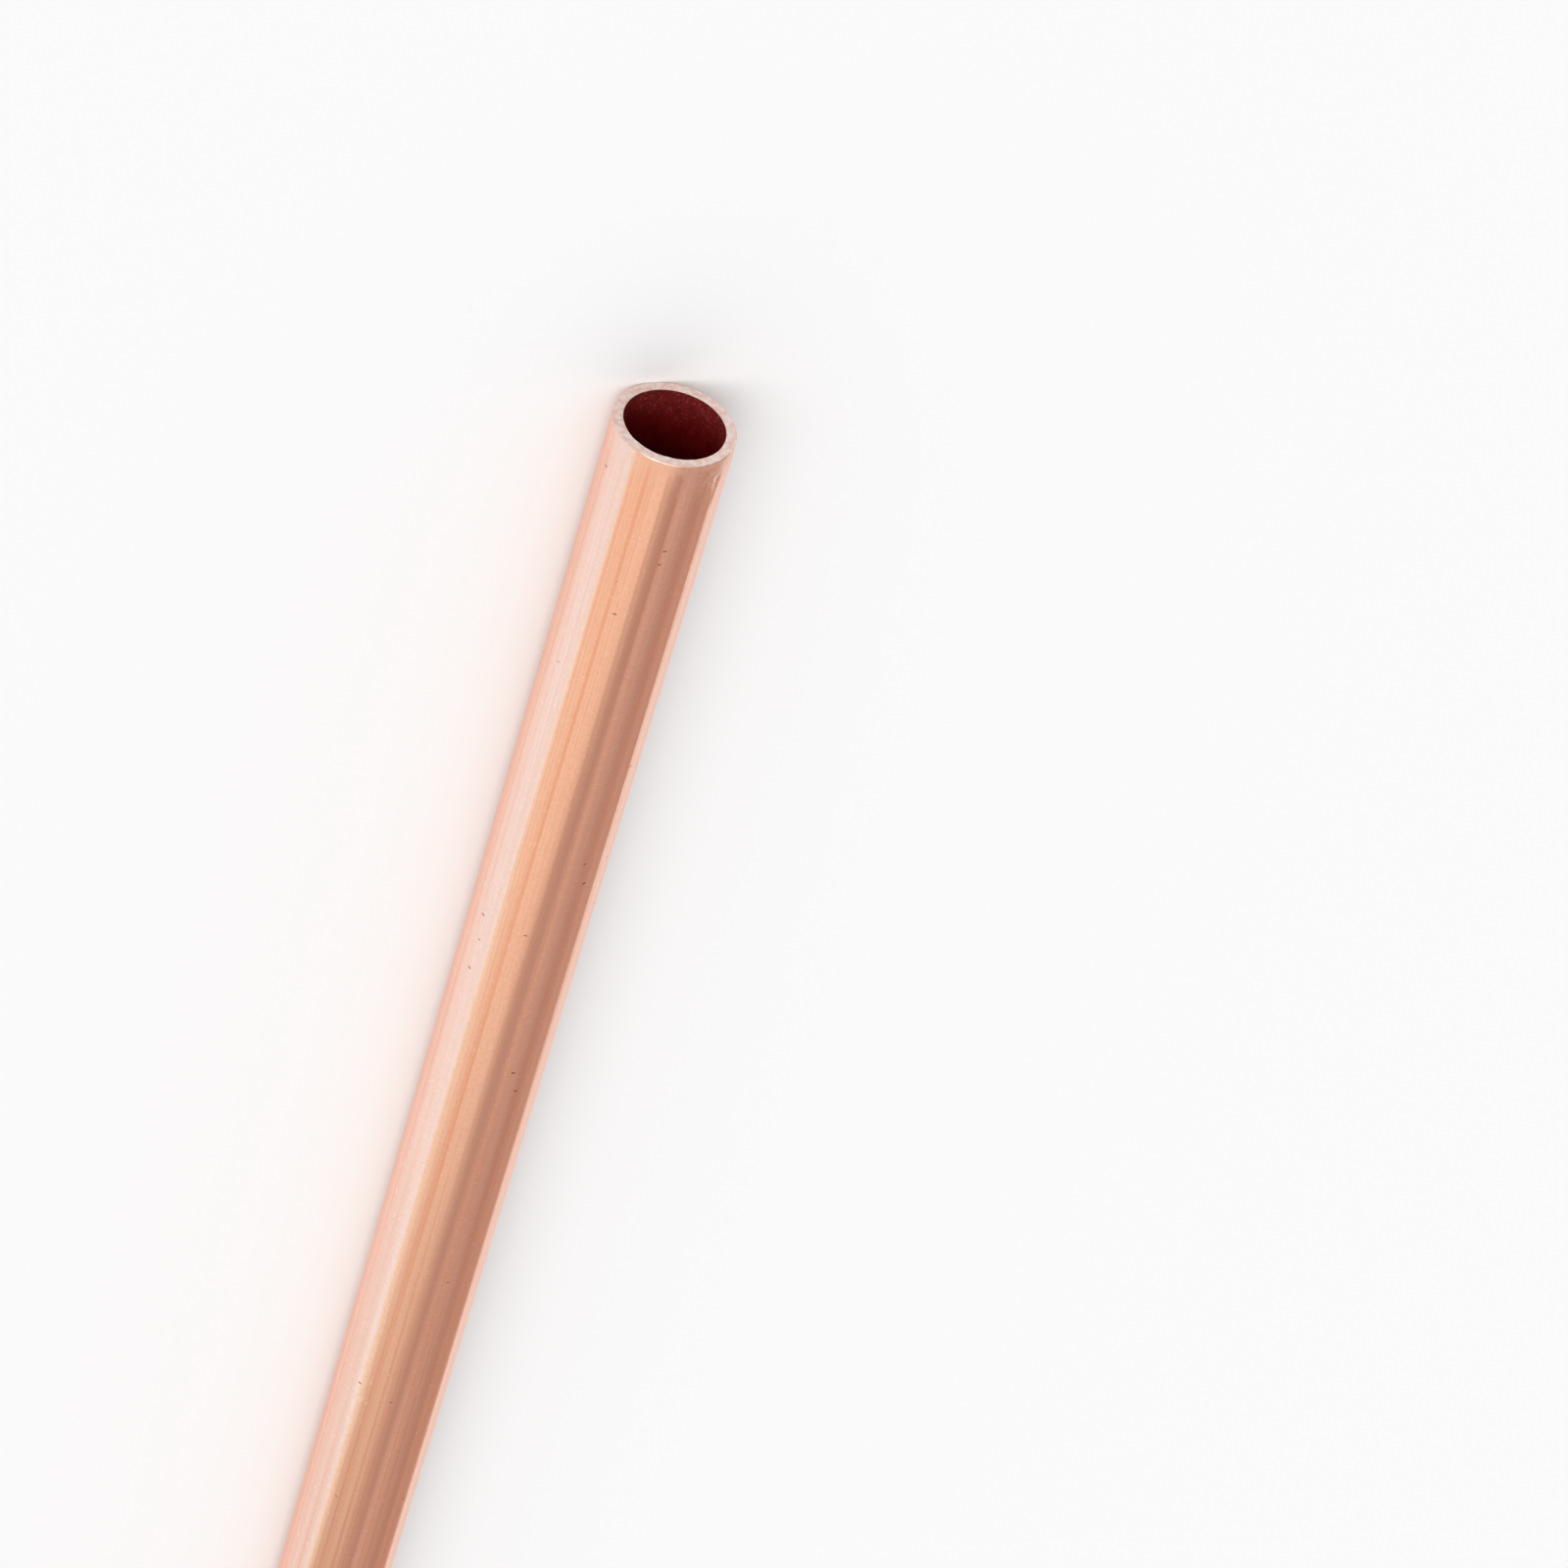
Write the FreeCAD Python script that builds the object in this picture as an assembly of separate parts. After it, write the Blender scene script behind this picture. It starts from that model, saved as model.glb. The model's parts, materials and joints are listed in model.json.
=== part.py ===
import FreeCAD, Part
import math
import os

# A length of hard-drawn copper water pipe, lying along X on the floor at Z = 0, with its middle over the
# origin. It is one seamless drawn tube. Both ends are cut square with a wheel cutter, which presses the
# last millimetres of the wall inwards, and each mouth of the bore is deburred. Sizes are in millimetres.

# Driving dimensions
outside_diameter = 12.0
wall_thickness = 1.0
stock_length = 1000.0
roll_in_length = 2.5  # stretch at each end that the cutting wheel pressed inwards
roll_in_depth = 0.05  # how far the outer wall is pressed in at the cut
outer_edge_radius = 0.1  # rounded corner from the outer wall to the cut face
bore_deburr = 0.05  # leg of the 45 degree deburred corner at the bore's mouth

outer_radius = outside_diameter / 2
bore_radius = outer_radius - wall_thickness
half_length = stock_length / 2
axis_height = outer_radius  # the pipe lies on its outer wall


def section_point(along, radius):
    """A point of the wall's section: a place along the pipe and a distance from its axis."""
    return FreeCAD.Vector(along, 0, axis_height + radius)


def falling_arc(along, radius, arc_radius, turn):
    """An arc that leaves the given point level, towards the pipe's end, and bends to the axis by turn."""

    def point_at(angle):
        reach = arc_radius * math.sin(angle)
        drop = arc_radius * (1 - math.cos(angle))
        return section_point(along + reach, radius - drop)

    return Part.Arc(point_at(0), point_at(turn / 2), point_at(turn)).toShape()


def end_section():
    """The section's edges at the +X end: rolled-in wall, rounded corner, cut face, deburred mouth."""
    roll_in_run = roll_in_length - outer_edge_radius
    roll_in_turn = 2 * math.atan2(roll_in_depth, roll_in_run)
    roll_in_radius = roll_in_run / math.sin(roll_in_turn)
    lip_radius = outer_radius - roll_in_depth

    roll_in = falling_arc(half_length - roll_in_length, outer_radius, roll_in_radius, roll_in_turn)
    corner = falling_arc(half_length - outer_edge_radius, lip_radius, outer_edge_radius, math.pi / 2)
    cut_face_top = section_point(half_length, lip_radius - outer_edge_radius)
    cut_face_foot = section_point(half_length, bore_radius + bore_deburr)
    mouth = section_point(half_length - bore_deburr, bore_radius)
    cut_face = Part.makeLine(cut_face_top, cut_face_foot)
    deburr = Part.makeLine(cut_face_foot, mouth)
    return [roll_in, corner, cut_face, deburr]


def plain_line(half_run, radius):
    """A straight stretch of the section, as far to each side of the pipe's middle."""
    return Part.makeLine(section_point(-half_run, radius), section_point(half_run, radius))


def pipe_length():
    """The wall's section, the same at both ends, turned once round the pipe's axis."""
    near_end = end_section()
    far_end = [edge.mirror(FreeCAD.Vector(0, 0, 0), FreeCAD.Vector(1, 0, 0)) for edge in near_end]
    outer_wall = plain_line(half_length - roll_in_length, outer_radius)
    bore_wall = plain_line(half_length - bore_deburr, bore_radius)

    outline = Part.sortEdges(near_end + far_end + [outer_wall, bore_wall])[0]
    section = Part.Face(Part.Wire(outline))
    return section.revolve(section_point(0, 0), FreeCAD.Vector(1, 0, 0), 360)


os.makedirs("parts", exist_ok=True)
copper_pipe = pipe_length()
copper_pipe.exportStep("parts/copper_pipe.step")
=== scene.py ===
import json
import math

import bpy
from mathutils import Matrix, Vector


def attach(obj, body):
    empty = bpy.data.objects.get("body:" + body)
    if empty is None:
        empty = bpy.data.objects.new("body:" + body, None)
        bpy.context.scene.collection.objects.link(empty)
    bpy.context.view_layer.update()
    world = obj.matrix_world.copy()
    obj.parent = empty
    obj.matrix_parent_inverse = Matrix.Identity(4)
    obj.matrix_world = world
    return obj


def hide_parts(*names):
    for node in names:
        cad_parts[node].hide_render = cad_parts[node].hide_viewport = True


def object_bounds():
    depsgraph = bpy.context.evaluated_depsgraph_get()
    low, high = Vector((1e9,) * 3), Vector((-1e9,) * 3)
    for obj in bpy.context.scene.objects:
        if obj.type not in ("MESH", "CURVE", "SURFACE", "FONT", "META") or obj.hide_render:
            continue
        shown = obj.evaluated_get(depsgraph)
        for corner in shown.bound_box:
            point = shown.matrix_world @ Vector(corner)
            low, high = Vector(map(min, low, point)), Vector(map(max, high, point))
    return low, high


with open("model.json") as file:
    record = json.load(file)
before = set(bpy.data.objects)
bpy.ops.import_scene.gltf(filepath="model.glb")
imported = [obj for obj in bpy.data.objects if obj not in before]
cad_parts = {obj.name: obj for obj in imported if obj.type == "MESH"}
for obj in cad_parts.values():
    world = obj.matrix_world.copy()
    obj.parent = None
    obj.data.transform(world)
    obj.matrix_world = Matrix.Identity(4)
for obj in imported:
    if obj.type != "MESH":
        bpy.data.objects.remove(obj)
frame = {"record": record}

cad_low, cad_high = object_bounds()

# Copper pipe
# One length of hard-drawn copper water pipe, pulled through a die, so fine lines run along its wall. A wheel
# cutter took it to length: the cut leaves a pale ring, a rolled-in edge and a low burr inside the dark bore.
millimetre = 0.001


def mount_radius(name):
    """The radius in metres that the record gives for one of the pipe's mounts."""
    mount = next(each for each in frame["record"]["mounts"] if each["name"] == name)
    return mount["dims"]["r_mm"] * millimetre


outer_radius = mount_radius("spigot_a")
bore_radius = mount_radius("bore")
half_length = (cad_high.x - cad_low.x) / 2
axis_height = (cad_high.z + cad_low.z) / 2

roll_in_length = 2.5 * millimetre
roll_in_depth = 0.05 * millimetre
outer_edge_radius = 0.1 * millimetre
lip_radius = outer_radius - roll_in_depth

# The cutting wheel leaves a low burr inside the mouth, which narrows the bore a little there.
burr_height = 0.07 * millimetre
burr_edge = 0.03 * millimetre
burr_reach = 0.8 * millimetre
mouth_radius = bore_radius - burr_height
cut_face_foot = mouth_radius + burr_edge

round_steps = 240
roll_in_steps = 12
corner_steps = 5
cut_face_steps = 6
burr_steps = 8
wall_ring_growth = 1.6


def wall_rings(first_ring, radius):
    """Rings of a plain wall, close together at the pipe's end and further apart towards its middle."""
    rings = []
    from_end = first_ring
    while from_end < half_length:
        rings.append((half_length - from_end, radius))
        from_end *= wall_ring_growth
    rings.append((0.0, radius))
    return rings


def falling_arc(along, radius, arc_radius, arc_turn, steps):
    """Rings of an arc that leaves the wall level and bends towards the axis by the given turn."""
    rings = []
    for step in range(1, steps + 1):
        angle = arc_turn * step / steps
        rings.append((along + arc_radius * math.sin(angle), radius - arc_radius * (1 - math.cos(angle))))
    return rings


def plain_share(share):
    """An even way from one place to the next."""
    return share


def eased_share(share):
    """A way that starts and ends level, like the flank of a low burr."""
    return (1 - math.cos(math.pi * share)) / 2


def run(start, stop, steps, shape=plain_share):
    """Rings from one place of the section to another, the first place left out."""
    rings = []
    for step in range(1, steps + 1):
        share = step / steps
        rings.append((
            start[0] + (stop[0] - start[0]) * share,
            start[1] + (stop[1] - start[1]) * shape(share),
        ))
    return rings


roll_in_run = roll_in_length - outer_edge_radius
roll_in_turn = 2 * math.atan2(roll_in_depth, roll_in_run)
roll_in_radius = roll_in_run / math.sin(roll_in_turn)
square_turn = math.pi / 2

section = wall_rings(roll_in_length, outer_radius)[::-1]
section += falling_arc(section[-1][0], outer_radius, roll_in_radius, roll_in_turn, roll_in_steps)
section += falling_arc(section[-1][0], lip_radius, outer_edge_radius, square_turn, corner_steps)
section += run(section[-1], (half_length, cut_face_foot), cut_face_steps)
section += run(section[-1], (half_length - burr_edge, mouth_radius), 1)
section += run(section[-1], (half_length - burr_reach, bore_radius), burr_steps, eased_share)
section += wall_rings(burr_reach, bore_radius)[1:]

# The section's first ring is drawn as a circle at the pipe's middle and pulled out ring by ring to the cut
# end and back through the bore; a mirror then makes the other half.
seam_reach = 0.001 * millimetre
bpy.ops.object.select_all(action="DESELECT")
bpy.ops.mesh.primitive_circle_add(
    vertices=round_steps,
    radius=outer_radius,
    location=(0, 0, axis_height),
    rotation=(0, square_turn, 0),
)
pipe = bpy.context.object
pipe.name = "copper_pipe_visual"
bpy.ops.object.transform_apply(location=True, rotation=True, scale=True)
bpy.ops.object.mode_set(mode="EDIT")
bpy.ops.mesh.select_mode(type="EDGE")
bpy.ops.mesh.select_all(action="SELECT")
for (along, radius), (next_along, next_radius) in zip(section, section[1:]):
    bpy.ops.mesh.extrude_region_move(TRANSFORM_OT_translate={"value": (next_along - along, 0, 0)})
    if next_radius != radius:
        scale = next_radius / radius
        bpy.ops.transform.resize(value=(1, scale, scale), center_override=(next_along, 0, axis_height))
bpy.ops.object.mode_set(mode="OBJECT")

mirror = pipe.modifiers.new("other half", "MIRROR")
mirror.use_axis = (True, False, False)
mirror.merge_threshold = seam_reach
bpy.ops.object.modifier_apply(modifier=mirror.name)
bpy.ops.object.mode_set(mode="EDIT")
bpy.ops.mesh.select_all(action="SELECT")
bpy.ops.mesh.normals_make_consistent(inside=False)
bpy.ops.object.mode_set(mode="OBJECT")

# The cut's edges are a little uneven.
cut_edge_reach = 0.12 * millimetre
chatter_size = 0.9 * millimetre
chatter_depth = 0.09 * millimetre
chatter_layers = 2
cut_edge = pipe.vertex_groups.new(name="cut edge")
cut_edge_start = half_length - cut_edge_reach
cut_edge_points = [point.index for point in pipe.data.vertices if abs(point.co.x) > cut_edge_start]
cut_edge.add(cut_edge_points, 1.0, "REPLACE")
chatter = bpy.data.textures.new("cut chatter", "CLOUDS")
chatter.noise_scale = chatter_size
chatter.noise_depth = chatter_layers
uneven_cut = pipe.modifiers.new("uneven cut", "DISPLACE")
uneven_cut.texture = chatter
uneven_cut.texture_coords = "LOCAL"
uneven_cut.vertex_group = cut_edge.name
uneven_cut.strength = chatter_depth
bpy.ops.object.modifier_apply(modifier=uneven_cut.name)

# One small knock sits just behind the nearer cut.
knock_from_end = 2.2 * millimetre
knock_turn = math.radians(28)  # from straight up towards -Y
knock_depth = 0.09 * millimetre
knock_size = 0.65 * millimetre
knock_out = Vector((0.0, -math.sin(knock_turn), math.cos(knock_turn)))
knock_place = Vector((half_length - knock_from_end, 0.0, axis_height)) + outer_radius * knock_out
knock_index = min(pipe.data.vertices, key=lambda point: (point.co - knock_place).length).index
bpy.ops.object.mode_set(mode="EDIT")
bpy.ops.mesh.select_mode(type="VERT")
bpy.ops.mesh.select_all(action="DESELECT")
bpy.ops.object.mode_set(mode="OBJECT")
pipe.data.vertices[knock_index].select = True
bpy.ops.object.mode_set(mode="EDIT")
bpy.ops.transform.translate(
    value=-knock_depth * knock_out,
    use_proportional_edit=True,
    proportional_edit_falloff="SMOOTH",
    proportional_size=knock_size,
)
bpy.ops.object.mode_set(mode="OBJECT")
sharpest_smooth_edge = math.radians(35)
bpy.ops.object.shade_smooth_by_angle(angle=sharpest_smooth_edge)

# What knocked it also smudged the wall round about.
smudge_from_end = 1.4 * millimetre
smudge_turn = math.radians(19)  # from straight up towards -Y
smudge_reach = 3.6 * millimetre
smudge_place = Vector((
    half_length - smudge_from_end,
    -outer_radius * math.sin(smudge_turn),
    axis_height + outer_radius * math.cos(smudge_turn),
))


def new_material(name):
    """A material with one Principled BSDF; returns the material, its node tree and that shader."""
    material = bpy.data.materials.new(name)
    material.use_nodes = True
    tree = material.node_tree
    return material, tree, tree.nodes["Principled BSDF"]


def add_node(tree, kind, **settings):
    """A node of the given kind with its settings made."""
    node = tree.nodes.new("ShaderNode" + kind)
    for name, value in settings.items():
        setattr(node, name, value)
    return node


def stretched_place(tree, along, across):
    """Object coordinates multiplied along the pipe and across it, so a pattern can be drawn out."""
    place = add_node(tree, "TexCoord")
    mapping = add_node(tree, "Mapping")
    mapping.inputs["Scale"].default_value = (along, across, across)
    tree.links.new(place.outputs["Object"], mapping.inputs["Vector"])
    return mapping.outputs["Vector"]


def noise(tree, along, across, detail):
    """A noise pattern that changes so many times in a metre along the pipe and across it."""
    texture = add_node(tree, "TexNoise")
    texture.inputs["Scale"].default_value = 1.0
    texture.inputs["Detail"].default_value = detail
    tree.links.new(stretched_place(tree, along, across), texture.inputs["Vector"])
    return texture.outputs["Fac"]


def between(tree, value, low, high, low_result=0.0, high_result=1.0):
    """A pattern's values from low to high, spread smoothly over a new range."""
    remap = add_node(tree, "MapRange", interpolation_type="SMOOTHSTEP")
    remap.inputs["From Min"].default_value = low
    remap.inputs["From Max"].default_value = high
    remap.inputs["To Min"].default_value = low_result
    remap.inputs["To Max"].default_value = high_result
    tree.links.new(value, remap.inputs["Value"])
    return remap.outputs["Result"]


def joined(tree, operation, first, second):
    """Two patterns added or multiplied; the second may be a plain number."""
    node = add_node(tree, "Math", operation=operation)
    tree.links.new(first, node.inputs[0])
    if isinstance(second, float):
        node.inputs[1].default_value = second
    else:
        tree.links.new(second, node.inputs[1])
    return node.outputs["Value"]


def tone_mix(tree, share, first, second):
    """A colour that goes from the first to the second with the share; either may be a node's output."""
    mix = add_node(tree, "Mix", data_type="RGBA")
    tree.links.new(share, mix.inputs["Factor"])
    for socket, tone in ((mix.inputs["A"], first), (mix.inputs["B"], second)):
        if isinstance(tone, tuple):
            socket.default_value = (*tone, 1.0)
        else:
            tree.links.new(tone, socket)
    return mix.outputs["Result"]


def laid_over(tree, under, tone, pattern, starts, full, share=1.0):
    """A tone laid over another from where a pattern starts to where it is full, there with its share."""
    return tone_mix(tree, between(tree, pattern, starts, full, 0.0, share), under, tone)


def bump(tree, height, depth, under=None):
    """A surface normal from a height pattern; depth is the pattern's full height in metres."""
    node = add_node(tree, "Bump")
    node.inputs["Distance"].default_value = depth
    tree.links.new(height, node.inputs["Height"])
    if under is not None:
        tree.links.new(under, node.inputs["Normal"])
    return node.outputs["Normal"]


def ticks(tree, per_metre, reach, soft_edge):
    """One where a short tick lies across the pipe, none elsewhere; the ticks are scattered."""
    across_to_along = 2
    cells = add_node(tree, "TexVoronoi")
    cells.inputs["Scale"].default_value = 1.0
    tree.links.new(stretched_place(tree, across_to_along * per_metre, per_metre), cells.inputs["Vector"])
    return between(tree, cells.outputs["Distance"], reach * per_metre, (reach - soft_edge) * per_metre)


def end_share(tree, reach):
    """One at the pipe's two cut ends, falling to none at the given reach from them."""
    place = add_node(tree, "TexCoord")
    axes = add_node(tree, "SeparateXYZ")
    tree.links.new(place.outputs["Object"], axes.inputs["Vector"])
    from_middle = add_node(tree, "Math", operation="ABSOLUTE")
    tree.links.new(axes.outputs["X"], from_middle.inputs[0])
    return between(tree, from_middle.outputs["Value"], half_length - reach, half_length)


def near(tree, centre, reach):
    """One at a place on the pipe, falling to none at the given reach from it."""
    place = add_node(tree, "TexCoord")
    distance = add_node(tree, "VectorMath", operation="DISTANCE")
    distance.inputs[1].default_value = centre
    tree.links.new(place.outputs["Object"], distance.inputs[0])
    return between(tree, distance.outputs["Value"], reach, 0.0)


def finished(material, shader, metallic, tone, rough, normal):
    """The material with its colour, roughness and surface patterns led to its shader."""
    links = material.node_tree.links
    shader.inputs["Metallic"].default_value = metallic
    links.new(tone, shader.inputs["Base Color"])
    links.new(rough, shader.inputs["Roughness"])
    links.new(normal, shader.inputs["Normal"])
    return material


metal = 1.0
not_metal = 0.0


def drawn_copper():
    """The outer wall: bright copper that the die banded and lined, rubbed and specked since. Its thin
    red-brown streaks are partly tarnish and partly a painted reflection of neighbouring copper pipes.
    """
    rose = (0.98, 0.745, 0.66)
    olive_brown = (0.965, 0.69, 0.585)
    dark_brown = (0.74, 0.44, 0.34)
    red_tarnish_and_reflection = (0.87, 0.41, 0.29)
    pale_copper = (0.98, 0.84, 0.79)
    dull_copper = (0.93, 0.70, 0.62)
    smudged_copper = (0.97, 0.76, 0.70)
    speck_brown = (0.40, 0.22, 0.18)
    edge_copper = (0.94, 0.74, 0.66)
    bare_rough, lined_rough = 0.09, 0.15
    grain_rough, dull_rough, smudged_rough, rubbed_rough = 0.04, 0.18, 0.3, 0.2
    rubbed_share = 0.8

    material, tree, shader = new_material("drawn copper")
    shader.inputs["Specular Tint"].default_value = (*edge_copper, 1.0)
    bands = noise(tree, along=6.0, across=850.0, detail=2.0)
    tarnish = noise(tree, along=10.0, across=420.0, detail=2.0)
    red_streaks_and_reflections = noise(tree, along=4.0, across=1300.0, detail=1.0)
    hair_lines = noise(tree, along=3.0, across=3000.0, detail=1.0)
    lines = noise(tree, along=25.0, across=5000.0, detail=2.0)
    grain = noise(tree, along=2200.0, across=2200.0, detail=2.0)
    flecks = noise(tree, along=1300.0, across=3600.0, detail=1.0)
    scuffs = noise(tree, along=7000.0, across=650.0, detail=1.0)
    rubs = noise(tree, along=20.0, across=700.0, detail=1.0)
    patches = noise(tree, along=900.0, across=900.0, detail=2.0)
    specks = ticks(tree, per_metre=210.0, reach=0.32 * millimetre, soft_edge=0.16 * millimetre)
    in_rub = between(tree, rubs, low=0.66, high=0.74)
    rubbed = joined(tree, "MULTIPLY", between(tree, flecks, low=0.55, high=0.65), in_rub)
    in_patch = between(tree, patches, low=0.35, high=0.6, low_result=0.3)
    dull_end = joined(tree, "MULTIPLY", end_share(tree, reach=4.0 * millimetre), in_patch)
    smears = noise(tree, along=1100.0, across=1500.0, detail=3.0)
    in_smear = between(tree, smears, low=0.36, high=0.60)
    smudge = joined(tree, "MULTIPLY", near(tree, smudge_place, smudge_reach), in_smear)

    tone = laid_over(tree, olive_brown, rose, bands, starts=0.42, full=0.58)
    tone = laid_over(tree, tone, dark_brown, tarnish, starts=0.52, full=0.68, share=0.16)
    # Thin red-brown streaks along the pipe: partly tarnish, partly a painted reflection of neighbouring
    # copper pipes.
    tone = laid_over(tree, tone, red_tarnish_and_reflection, red_streaks_and_reflections, starts=0.60, full=0.70, share=0.4)
    tone = laid_over(tree, tone, dark_brown, hair_lines, starts=0.64, full=0.74, share=0.35)
    tone = laid_over(tree, tone, dark_brown, lines, starts=0.5, full=0.75, share=0.24)
    tone = laid_over(tree, tone, dark_brown, grain, starts=0.4, full=0.7, share=0.12)
    tone = tone_mix(tree, dull_end, tone, dull_copper)
    tone = tone_mix(tree, smudge, tone, smudged_copper)
    tone = tone_mix(tree, joined(tree, "MULTIPLY", rubbed, rubbed_share), tone, pale_copper)
    tone = laid_over(tree, tone, pale_copper, flecks, starts=0.68, full=0.75, share=0.8)
    tone = laid_over(tree, tone, pale_copper, scuffs, starts=0.70, full=0.76, share=0.7)
    tone = tone_mix(tree, specks, tone, speck_brown)

    rough = between(tree, lines, low=0.3, high=0.7, low_result=bare_rough, high_result=lined_rough)
    rough = joined(tree, "ADD", rough, between(tree, grain, low=0.35, high=0.7, high_result=grain_rough))
    rough = joined(tree, "ADD", rough, joined(tree, "MULTIPLY", dull_end, dull_rough))
    rough = joined(tree, "ADD", rough, joined(tree, "MULTIPLY", smudge, smudged_rough))
    rough = joined(tree, "ADD", rough, joined(tree, "MULTIPLY", rubbed, rubbed_rough))

    normal = bump(tree, bands, depth=0.03 * millimetre)
    normal = bump(tree, hair_lines, depth=0.002 * millimetre, under=normal)
    normal = bump(tree, lines, depth=0.003 * millimetre, under=normal)
    normal = bump(tree, grain, depth=0.0012 * millimetre, under=normal)
    return finished(material, shader, metal, tone, rough, normal)


def cut_copper():
    """The ring that the cut left: pale, torn and smeared metal."""
    torn_copper = (0.78, 0.56, 0.50)
    smeared_copper = (0.85, 0.71, 0.66)
    burr_copper = (0.66, 0.48, 0.43)
    torn_rough, smeared_rough = 0.48, 0.34

    material, tree, shader = new_material("cut copper")
    smears = noise(tree, along=1500.0, across=1500.0, detail=3.0)
    burrs = noise(tree, along=5000.0, across=5000.0, detail=2.0)
    tone = laid_over(tree, torn_copper, smeared_copper, smears, starts=0.38, full=0.62)
    tone = laid_over(tree, tone, burr_copper, burrs, starts=0.58, full=0.75, share=0.4)
    rough = between(tree, smears, low=0.3, high=0.7, low_result=torn_rough, high_result=smeared_rough)
    normal = bump(tree, smears, depth=0.02 * millimetre)
    normal = bump(tree, burrs, depth=0.006 * millimetre, under=normal)
    return finished(material, shader, metal, tone, rough, normal)


def bore_oxide():
    """The bore's wall: dull dark red oxide, with pale dust that the cut threw into the mouth, and an even
    paleness there that is painted light falling into the bore.
    """
    dark_oxide = (0.135, 0.002, 0.003)
    red_oxide = (0.18, 0.006, 0.006)
    mouth_dust_and_light = (0.36, 0.18, 0.16)
    dark_rough, red_rough = 0.55, 0.7
    faint_shine = 0.05

    material, tree, shader = new_material("bore oxide")
    shader.inputs["Specular IOR Level"].default_value = faint_shine
    patches = noise(tree, along=700.0, across=1100.0, detail=3.0)
    dust = noise(tree, along=3200.0, across=3200.0, detail=2.0)
    # Towards the mouth: specks of pale dust over an even paleness that is painted light falling into the
    # bore.
    dust_and_light_cover = between(tree, dust, low=0.50, high=0.75, low_result=0.05, high_result=0.35)
    dust_and_light_share = joined(tree, "MULTIPLY", dust_and_light_cover, end_share(tree, reach=5.0 * millimetre))
    tone = laid_over(tree, dark_oxide, red_oxide, patches, starts=0.3, full=0.7)
    tone = tone_mix(tree, dust_and_light_share, tone, mouth_dust_and_light)
    rough = between(tree, patches, low=0.3, high=0.7, low_result=dark_rough, high_result=red_rough)
    normal = bump(tree, patches, depth=0.01 * millimetre)
    return finished(material, shader, not_metal, tone, rough, normal)


for finish in (drawn_copper(), cut_copper(), bore_oxide()):
    pipe.data.materials.append(finish)
wall_finish, cut_finish, bore_finish = range(3)
middle_of_wall = (outer_radius + bore_radius) / 2
for face in pipe.data.polygons:
    off_axis = math.hypot(face.center.y, face.center.z - axis_height)
    if abs(face.center.x) > half_length - outer_edge_radius:
        face.material_index = cut_finish
    elif off_axis > middle_of_wall:
        face.material_index = wall_finish
    else:
        face.material_index = bore_finish

# The surface is unrolled into strips for its pictures: the wall, the bore and each cut ring has its own.
strip_gap = 0.01
wall_strip = (0.36, 1 - strip_gap)
bore_strip = (0.10, 0.35)
ring_strip = (strip_gap, 0.09)
length_strip = (strip_gap, 1 - strip_gap)
ring_share = (1 - 3 * strip_gap) / 2
half_turn = 0.5
unrolled = pipe.data.uv_layers.new(name="OFBake")


def part_way(strip, share):
    """The place at a share of the way through a strip."""
    start, stop = strip
    return start + (stop - start) * share


for face in pipe.data.polygons:
    corners = [pipe.data.vertices[pipe.data.loops[i].vertex_index].co for i in face.loop_indices]
    turns = [math.atan2(co.y, co.z - axis_height) / (2 * math.pi) + half_turn for co in corners]
    across_seam = max(turns) - min(turns) > half_turn
    for loop_index, co, turn in zip(face.loop_indices, corners, turns):
        if across_seam and turn < half_turn:
            turn += 1.0
        round_share = turn * round_steps / (round_steps + 1)
        length_place = part_way(length_strip, (co.x + half_length) / (2 * half_length))
        if face.material_index == cut_finish:
            ring_start = strip_gap if face.center.x > 0 else 2 * strip_gap + ring_share
            off_axis = math.hypot(co.y, co.z - axis_height)
            depth_share = (off_axis - mouth_radius) / (outer_radius - mouth_radius)
            place = (ring_start + ring_share * round_share, part_way(ring_strip, depth_share))
        elif face.material_index == wall_finish:
            place = (length_place, part_way(wall_strip, round_share))
        else:
            place = (length_place, part_way(bore_strip, round_share))
        unrolled.data[loop_index].uv = place

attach(pipe, "root")
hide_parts("copper_pipe")

# Floor
# A plain sheet of matt white paper that the pipe lies on.
# It is wide enough to fill the picture from any side.
floor_side = 40.0
paper_white = (0.94, 0.94, 0.94)
bpy.ops.mesh.primitive_plane_add(size=floor_side, location=(0, 0, 0))
floor = bpy.context.object
floor.name = "floor"
white_paper, paper_tree, paper_shader = new_material("white paper")
paper_shader.inputs["Base Color"].default_value = (*paper_white, 1.0)
paper_shader.inputs["Roughness"].default_value = 1.0
paper_shader.inputs["Specular IOR Level"].default_value = 0.0
floor.data.materials.append(white_paper)

# Light
# A soft white sun over the nearer end and an even white sky light the pipe and the floor. Metal mirrors a
# warm room instead of the sky: end walls behind the camera, and far walls with soft stripes and a lit foot.
sun_from = Vector((0.34, 0.574, 0.745))
sun_spread = math.radians(40)
sun_strength = 1.4
sun_lamp = bpy.data.lights.new("sun", "SUN")
sun_lamp.angle = sun_spread
sun_lamp.energy = sun_strength
sun = bpy.data.objects.new("sun", sun_lamp)
sun.rotation_euler = sun_from.to_track_quat("Z", "Y").to_euler()
scene = bpy.context.scene
scene.collection.objects.link(sun)

white_sky = (0.69, 0.69, 0.69)
backdrop = (0.96, 0.96, 0.96)
bright_end_wall = (0.84, 0.65, 0.52)
dim_end_wall = (0.46, 0.32, 0.255)
bright_wall = (0.955, 0.685, 0.505)
deep_wall = (0.60, 0.425, 0.325)
dim_wall = (0.565, 0.365, 0.285)
pale_stripe = (0.685, 0.465, 0.375)
dark_stripe = (0.49, 0.295, 0.225)
foot_light = (1.0, 0.86, 0.68)

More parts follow.
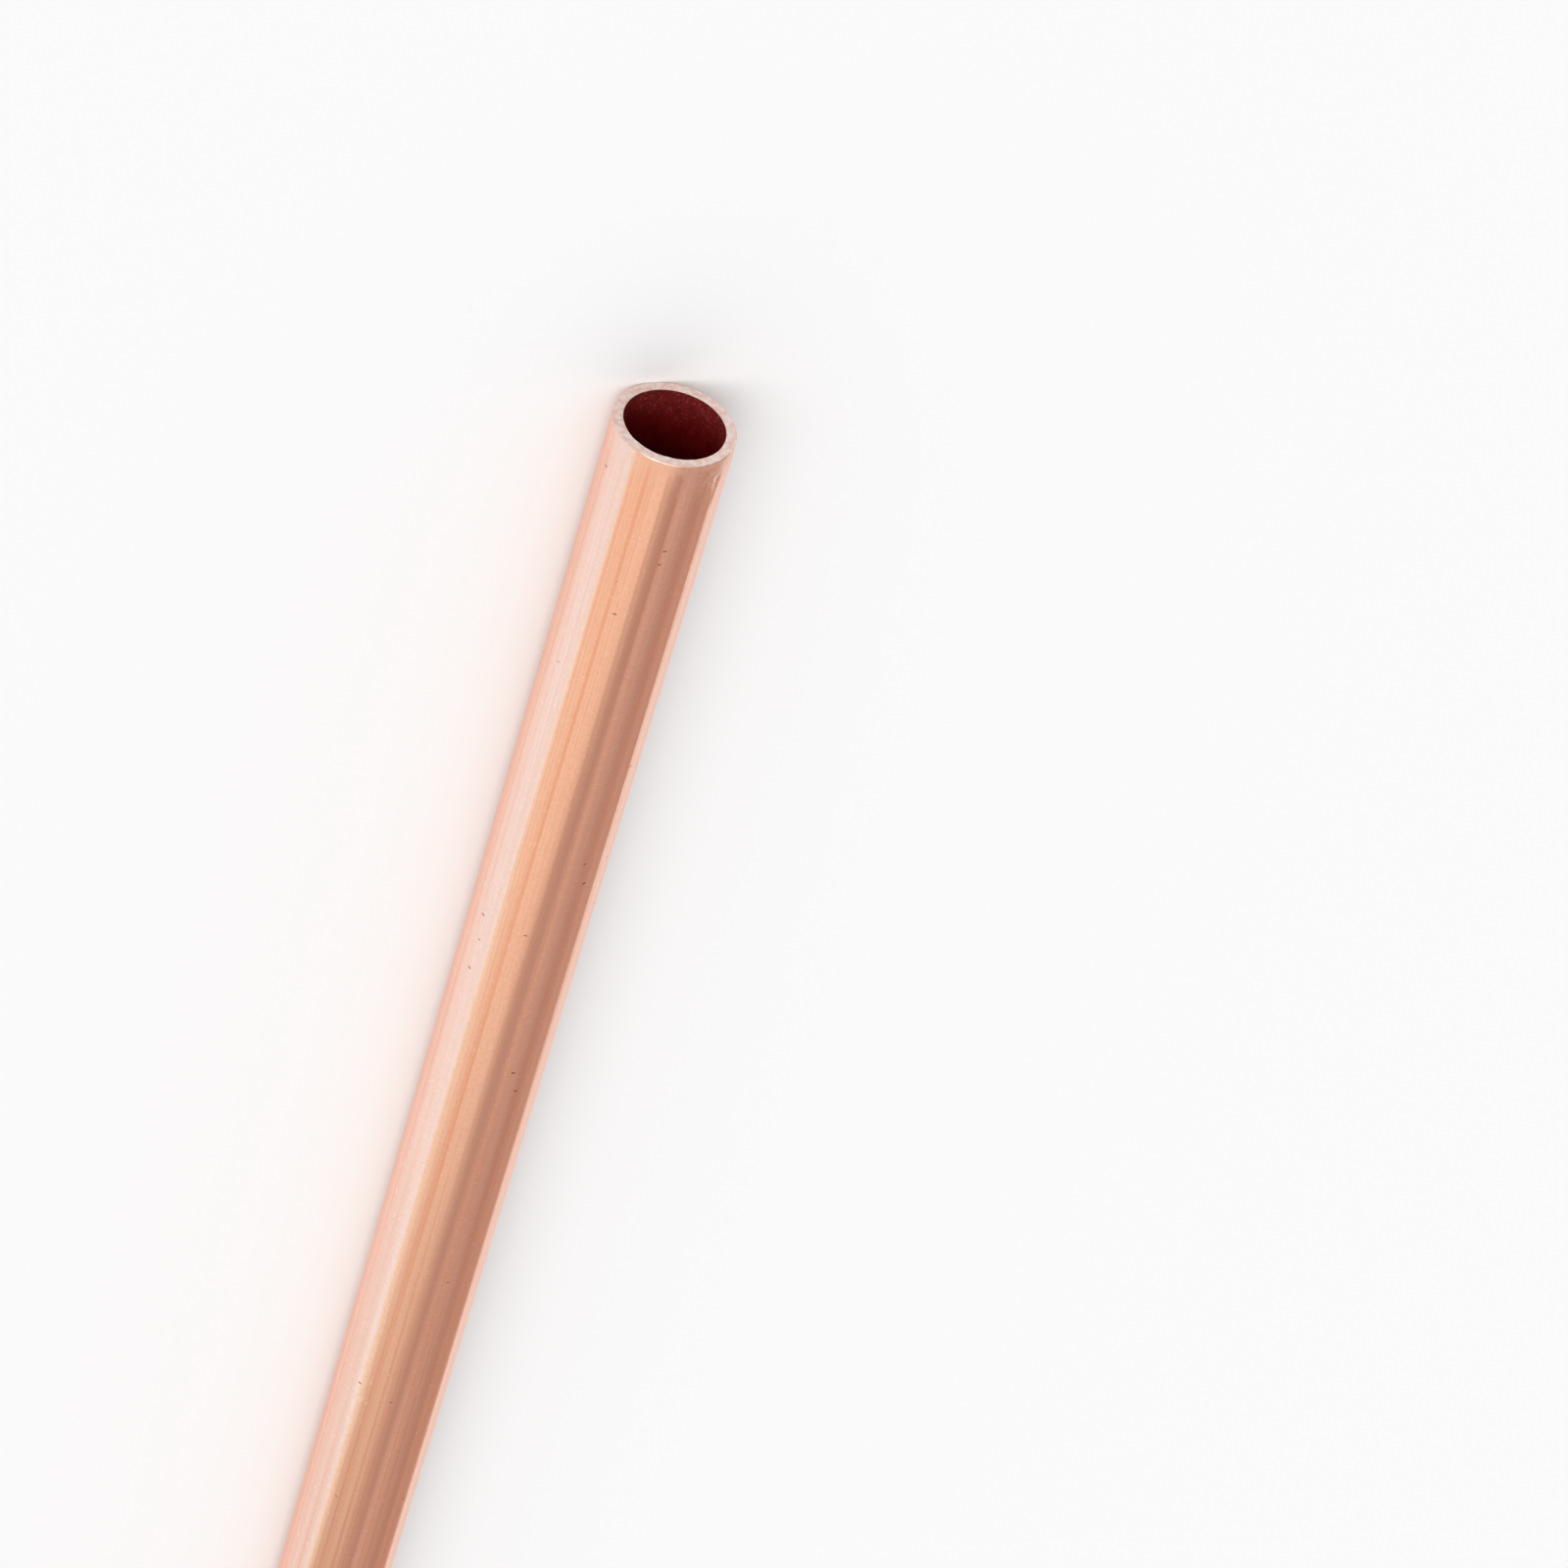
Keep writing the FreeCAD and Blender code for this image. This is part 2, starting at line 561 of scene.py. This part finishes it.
# A wall's place runs from -1, straight away from the bright side, to 1, straight towards it. The other
# bounds are places along X and Z, as parts of a direction of length 1, where one tone gives way to the next.
bright_side = (0.571, 0.759, 0.314)
far_walls = (
    (-0.82, dim_wall),
    (-0.66, dark_stripe),
    (-0.46, dim_wall),
    (-0.31, pale_stripe),
    (-0.20, dark_stripe),
    (-0.06, dim_wall),
    (0.06, bright_wall),
)
end_to_far_x = (-0.28, -0.48)
bright_to_deep_x = (-0.66, -0.80)
wall_to_foot_z = (0.24, 0.0)
dim_to_bright_far = (-0.1, 0.05)
dim_to_bright_end = (-0.15, 0.15)

world = bpy.data.worlds.new("warm room")
world.use_nodes = True
room = world.node_tree
outwards = add_node(room, "TexCoord").outputs["Generated"]
axes = add_node(room, "SeparateXYZ")
room.links.new(outwards, axes.inputs["Vector"])
facing = add_node(room, "VectorMath", operation="DOT_PRODUCT")
facing.inputs[1].default_value = bright_side
room.links.new(outwards, facing.inputs[0])
wall_place = facing.outputs["Value"]


def ramp_share(place):
    """A wall's place, from -1 to 1, as a share of the way along the ramp."""
    return (place + 1.0) / 2.0


walls = add_node(room, "ValToRGB")
stops = walls.color_ramp.elements
stops.remove(stops[1])
for number, (place, tone) in enumerate(far_walls):
    stop = stops[0] if number == 0 else stops.new(ramp_share(place))
    stop.position = ramp_share(place)
    stop.color = (*tone, 1.0)
place_on_ramp = joined(room, "MULTIPLY", joined(room, "ADD", wall_place, 1.0), 0.5)
room.links.new(place_on_ramp, walls.inputs["Fac"])

on_bright_side = between(room, wall_place, *dim_to_bright_far)
deep_share = joined(room, "MULTIPLY", between(room, axes.outputs["X"], *bright_to_deep_x), on_bright_side)
foot_share = joined(room, "MULTIPLY", between(room, axes.outputs["Z"], *wall_to_foot_z), on_bright_side)
lit_walls = tone_mix(room, deep_share, walls.outputs["Color"], deep_wall)
lit_walls = tone_mix(room, foot_share, lit_walls, foot_light)
end_walls = tone_mix(room, between(room, wall_place, *dim_to_bright_end), dim_end_wall, bright_end_wall)
mirrored_room = tone_mix(room, between(room, axes.outputs["X"], *end_to_far_x), end_walls, lit_walls)

rays = add_node(room, "LightPath")
seen = tone_mix(room, rays.outputs["Is Glossy Ray"], white_sky, mirrored_room)
seen = tone_mix(room, rays.outputs["Is Camera Ray"], seen, backdrop)
background = room.nodes["Background"]
background.inputs["Strength"].default_value = 1.0
room.links.new(seen, background.inputs["Color"])
scene.world = world
scene.view_settings.view_transform = "Standard"

# Camera
# It stands where the photograph's stood, seen from the pipe's nearer end: the end's centre, the pipe's lean
# in the picture and its angle to the line of sight are as measured there, for a long lens.
picture_side = 1600
rim_centre_in_picture = (688.7, 433.0)
pipe_lean = math.radians(16.6)
sight_angle = math.radians(51.43)
sight_roll = math.radians(32)  # how far the camera stands round the pipe's axis, from straight over it to +Y
rim_distance = 0.6087
lens_length = 150.0
sensor_side = 36.0
nearest_seen = 0.01

focal_pixels = lens_length / sensor_side * picture_side
sight_in_camera = Vector((
    (rim_centre_in_picture[0] - picture_side / 2) / focal_pixels,
    (picture_side / 2 - rim_centre_in_picture[1]) / focal_pixels,
    -1.0,
)).normalized()
lean_in_camera = Vector((-math.sin(pipe_lean), -math.cos(pipe_lean), 0.0))
rim_centre = Vector((half_length, 0.0, axis_height))
sight = Vector((
    -math.cos(sight_angle),
    -math.sin(sight_angle) * math.sin(sight_roll),
    -math.sin(sight_angle) * math.cos(sight_roll),
))
pipe_run = Vector((-1.0, 0.0, 0.0))


def sight_axes(along_sight, sideways):
    """Three square axes as a matrix's columns: the line of sight, the way sideways and their normal."""
    first = along_sight.normalized()
    second = (sideways - sideways.dot(first) * first).normalized()
    return Matrix((first, second, first.cross(second))).transposed()


camera_turn = sight_axes(sight, pipe_run) @ sight_axes(sight_in_camera, lean_in_camera).transposed()
lens = bpy.data.cameras.new("camera")
lens.lens = lens_length
lens.sensor_width = sensor_side
lens.clip_start = nearest_seen
camera = bpy.data.objects.new("camera", lens)
scene.collection.objects.link(camera)
camera.matrix_world = Matrix.Translation(rim_centre - sight * rim_distance) @ camera_turn.to_4x4()
scene.camera = camera
